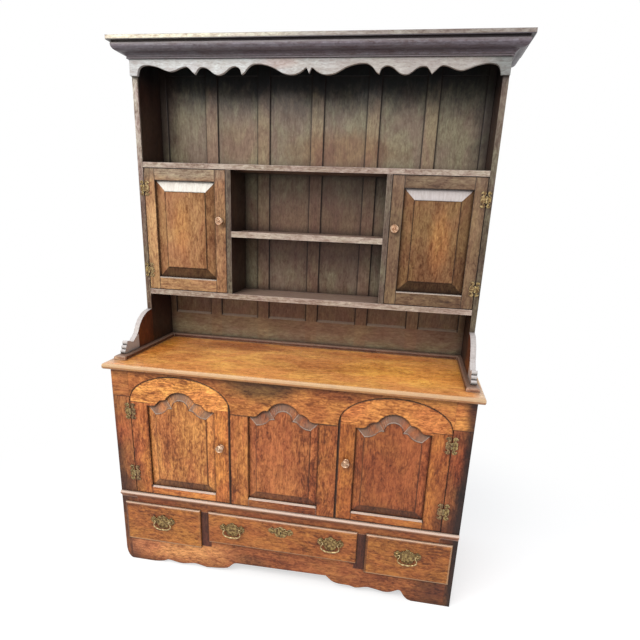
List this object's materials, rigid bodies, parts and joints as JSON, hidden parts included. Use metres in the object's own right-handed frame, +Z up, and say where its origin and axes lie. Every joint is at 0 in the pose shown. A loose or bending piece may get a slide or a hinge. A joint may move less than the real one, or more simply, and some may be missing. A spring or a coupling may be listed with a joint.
{
  "type": "welsh dresser",
  "caption": "Oak Welsh dresser: an enclosed base with arched panelled doors and drawers under a plate rack with cupboards, waved frieze and moulded cornice.",
  "frame": {"origin": "on the floor, in the middle of the box round the whole dresser", "axes": "+Z up, +Y to the back, so the doors and drawers face -Y, +X to the right as the front is seen"},
  "size_m": [1.446, 0.5254, 1.992],
  "materials": {
    "base_oak": "waxed oak, reddish brown",
    "top_oak": "waxed oak, honey orange",
    "rack_oak": "waxed oak, dark brown",
    "plain_oak": "bare oak",
    "brass": "aged brass",
    "dark_brass": "dark bronzed brass"
  },
  "bodies": {
    "carcass": {"worktop": "top_oak", "right_front_stile": "base_oak", "left_front_stile": "base_oak", "front_top_rail": "base_oak", "right_door_muntin": "base_oak", "left_door_muntin": "base_oak", "centre_panel": "base_oak", "waist_rail": "base_oak", "right_drawer_divider": "base_oak", "left_drawer_divider": "base_oak", "apron": "base_oak", "right_base_end": "base_oak", "left_base_end": "base_oak", "base_back": "plain_oak", "cupboard_floor": "plain_oak", "rack_shoe": "rack_oak", "right_rack_side": "rack_oak", "left_rack_side": "rack_oak", "upper_shelf": "rack_oak", "middle_shelf": "rack_oak", "lower_shelf": "rack_oak", "right_rack_divider": "rack_oak", "left_rack_divider": "rack_oak", "rack_back": "rack_oak", "cornice": "rack_oak", "frieze": "rack_oak"},
    "left_door": {"left_door_frame": "base_oak", "left_door_panel": "base_oak", "left_door_knob": "dark_brass", "left_door_upper_hinge": "brass", "left_door_lower_hinge": "brass"},
    "left_rack_door": {"left_rack_door_frame": "rack_oak", "left_rack_door_panel": "rack_oak", "left_rack_door_knob": "dark_brass", "left_rack_door_upper_hinge": "brass", "left_rack_door_lower_hinge": "brass"},
    "right_door": {"right_door_frame": "base_oak", "right_door_panel": "base_oak", "right_door_knob": "dark_brass", "right_door_upper_hinge": "brass", "right_door_lower_hinge": "brass"},
    "right_rack_door": {"right_rack_door_frame": "rack_oak", "right_rack_door_panel": "rack_oak", "right_rack_door_knob": "dark_brass", "right_rack_door_upper_hinge": "brass", "right_rack_door_lower_hinge": "brass"},
    "left_drawer": {"left_drawer_front": "base_oak", "left_drawer_box": "plain_oak", "left_drawer_plate": "brass"},
    "left_drawer_bail": {"left_drawer_bail": "brass"},
    "centre_drawer": {"centre_drawer_front": "base_oak", "centre_drawer_box": "plain_oak", "centre_drawer_left_plate": "brass", "centre_drawer_right_plate": "brass"},
    "centre_drawer_left_bail": {"centre_drawer_left_bail": "brass"},
    "centre_drawer_right_bail": {"centre_drawer_right_bail": "brass"},
    "right_drawer": {"right_drawer_front": "base_oak", "right_drawer_box": "plain_oak", "right_drawer_plate": "brass"},
    "right_drawer_bail": {"right_drawer_bail": "brass"}
  },
  "joints": [
    {"name": "left_door_hinge", "type": "hinge", "parent": "carcass", "child": "left_door", "pos_m": [-0.603, -0.23565, 0.544], "axis": [0, 0, -1], "range_deg": [0, 170]},
    {"name": "left_rack_door_hinge", "type": "hinge", "parent": "carcass", "child": "left_rack_door", "pos_m": [-0.647, 0.06335, 1.3365], "axis": [0, 0, -1], "range_deg": [0, 170]},
    {"name": "right_door_hinge", "type": "hinge", "parent": "carcass", "child": "right_door", "pos_m": [0.603, -0.23565, 0.544], "axis": [0, 0, 1], "range_deg": [0, 170]},
    {"name": "right_rack_door_hinge", "type": "hinge", "parent": "carcass", "child": "right_rack_door", "pos_m": [0.647, 0.06335, 1.3365], "axis": [0, 0, 1], "range_deg": [0, 170]},
    {"name": "left_drawer_slide", "type": "slide", "parent": "carcass", "child": "left_drawer", "axis": [0, -1, 0], "range_m": [0, 0.33]},
    {"name": "centre_drawer_slide", "type": "slide", "parent": "carcass", "child": "centre_drawer", "axis": [0, -1, 0], "range_m": [0, 0.33]},
    {"name": "right_drawer_slide", "type": "slide", "parent": "carcass", "child": "right_drawer", "axis": [0, -1, 0], "range_m": [0, 0.33]},
    {"name": "left_drawer_bail_swing", "type": "hinge", "parent": "left_drawer", "child": "left_drawer_bail", "pos_m": [-0.493, -0.25295, 0.21525], "axis": [-1, 0, 0], "range_deg": [0, 90]},
    {"name": "centre_drawer_left_bail_swing", "type": "hinge", "parent": "centre_drawer", "child": "centre_drawer_left_bail", "pos_m": [-0.198, -0.25295, 0.224], "axis": [-1, 0, 0], "range_deg": [0, 90]},
    {"name": "centre_drawer_right_bail_swing", "type": "hinge", "parent": "centre_drawer", "child": "centre_drawer_right_bail", "pos_m": [0.198, -0.25295, 0.224], "axis": [-1, 0, 0], "range_deg": [0, 90]},
    {"name": "right_drawer_bail_swing", "type": "hinge", "parent": "right_drawer", "child": "right_drawer_bail", "pos_m": [0.493, -0.25295, 0.21525], "axis": [-1, 0, 0], "range_deg": [0, 90]}
  ]
}
